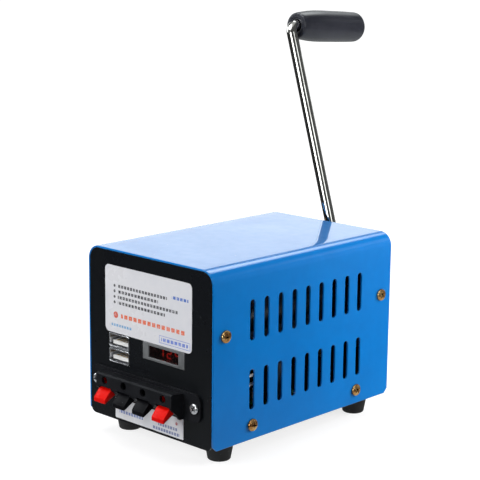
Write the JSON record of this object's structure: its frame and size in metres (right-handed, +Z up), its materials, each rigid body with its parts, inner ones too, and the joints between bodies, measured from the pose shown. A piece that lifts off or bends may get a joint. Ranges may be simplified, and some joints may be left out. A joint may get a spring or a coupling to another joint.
{
  "type": "hand crank generator",
  "caption": "Sheet-metal box with a folded blue cover, black front panel with sockets, meter and push terminals, and a long bent-rod crank behind that turns a geared generator.",
  "frame": {"origin": "centre of the four feet, on the surface that they stand on", "axes": "+X to the right across the front panel, +Y from the front panel to the crank behind, +Z up"},
  "size_m": [0.0983, 0.2174, 0.2075],
  "materials": {
    "cover_blue": "gloss blue paint",
    "panel_black": "gloss black paint",
    "yellow_zinc": "yellow zinc plate",
    "foot_rubber": "moulded",
    "steel": "plain",
    "bright_steel": "bright nickel plate",
    "black_steel": "black oxide",
    "label_blue": "printed film",
    "white_plastic": "plain",
    "grey_plastic": "satin",
    "dark_window": "tinted clear",
    "red_light": "lit",
    "black_plastic": "gloss",
    "red_plastic": "gloss",
    "brass": "plain",
    "copper": "enamelled copper",
    "board_green": "solder mask",
    "capacitor_sleeve": "shrink sleeve",
    "aluminium": "extruded",
    "hub_metal": "turned",
    "ferrite": "sintered",
    "arm_chrome": "polished",
    "grip_plastic": "satin",
    "lead_red": "plain"
  },
  "bodies": {
    "case": {"cover_shell": "cover_blue", "chassis_frame": "panel_black", "cover_screws": "yellow_zinc", "rubber_feet": "foot_rubber", "foot_screws": "yellow_zinc", "small_nuts": "steel", "upper_label": "label_blue", "lower_label": "label_blue", "usb_shell": "bright_steel", "usb_insulator": "white_plastic", "usb_contacts": "brass", "meter_case": "grey_plastic", "meter_window": "dark_window", "meter_digits": "red_light", "terminal_body": "black_plastic", "terminal_contacts": "bright_steel", "terminal_springs": "bright_steel", "terminal_screws": "bright_steel", "regulator_board": "board_green", "board_standoffs": "brass", "board_screws": "steel", "board_capacitors": "capacitor_sleeve", "board_inductor": "copper", "board_heatsink": "aluminium", "board_regulator": "black_plastic", "board_rectifier": "black_plastic", "gearbox_rear_plate": "steel", "gearbox_front_plate": "steel", "gearbox_pillars": "steel", "gearbox_screws": "yellow_zinc", "crank_bush_rear": "brass", "crank_bush_front": "brass", "layshaft_bushes": "brass", "generator_can": "steel", "generator_magnets": "ferrite", "generator_end_cap": "black_plastic", "generator_brushes": "ferrite", "generator_screws": "steel", "hub_washer": "steel", "output_leads": "white_plastic", "motor_leads": "lead_red"},
    "crank": {"crank_shaft": "steel", "crank_gear": "steel", "crank_hub": "hub_metal", "hub_grub_screws": "black_steel", "crank_arm": "arm_chrome", "grip_retainer": "steel"},
    "grip": {"crank_grip": "grip_plastic"},
    "layshaft": {"layshaft": "steel", "layshaft_gear": "steel", "layshaft_pinion": "steel"},
    "rotor": {"rotor_shaft": "steel", "rotor_core": "steel", "rotor_windings": "copper", "rotor_commutator": "copper", "rotor_pinion": "brass"},
    "lever_red_left": {"lever_red_left": "red_plastic"},
    "lever_black_left": {"lever_black_left": "black_plastic"},
    "lever_black_right": {"lever_black_right": "black_plastic"},
    "lever_red_right": {"lever_red_right": "red_plastic"}
  },
  "joints": [
    {"name": "crank_turn", "type": "hinge", "parent": "case", "child": "crank", "pos_m": [0, 0.0809, 0.0535], "axis": [0, 1, 0], "continuous": true},
    {"name": "grip_spin", "type": "hinge", "parent": "crank", "child": "grip", "pos_m": [-0.04337, 0.11086, 0.19806], "axis": [0.015, 0.9986, -0.0501], "continuous": true},
    {"name": "layshaft_spin", "type": "hinge", "parent": "case", "child": "layshaft", "pos_m": [-0.021, 0.05, 0.06612], "axis": [0, 1, 0], "continuous": true},
    {"name": "rotor_spin", "type": "hinge", "parent": "case", "child": "rotor", "pos_m": [0, 0.01, 0.06612], "axis": [0, 1, 0], "continuous": true},
    {"name": "press_red_left", "type": "hinge", "parent": "case", "child": "lever_red_left", "pos_m": [-0.02255, -0.0721, 0.0274], "axis": [1, 0, 0], "range_deg": [0, 12], "stiffness_Nm_per_rad": 0.02},
    {"name": "press_black_left", "type": "hinge", "parent": "case", "child": "lever_black_left", "pos_m": [-0.00865, -0.0721, 0.0274], "axis": [1, 0, 0], "range_deg": [0, 12], "stiffness_Nm_per_rad": 0.02},
    {"name": "press_black_right", "type": "hinge", "parent": "case", "child": "lever_black_right", "pos_m": [0.00525, -0.0721, 0.0274], "axis": [1, 0, 0], "range_deg": [0, 12], "stiffness_Nm_per_rad": 0.02},
    {"name": "press_red_right", "type": "hinge", "parent": "case", "child": "lever_red_right", "pos_m": [0.01915, -0.0721, 0.0274], "axis": [1, 0, 0], "range_deg": [0, 12], "stiffness_Nm_per_rad": 0.02}
  ],
  "couplings": [
    {"joint": "layshaft_spin", "follows": "crank_turn", "ratio": -4},
    {"joint": "rotor_spin", "follows": "crank_turn", "ratio": 16}
  ]
}
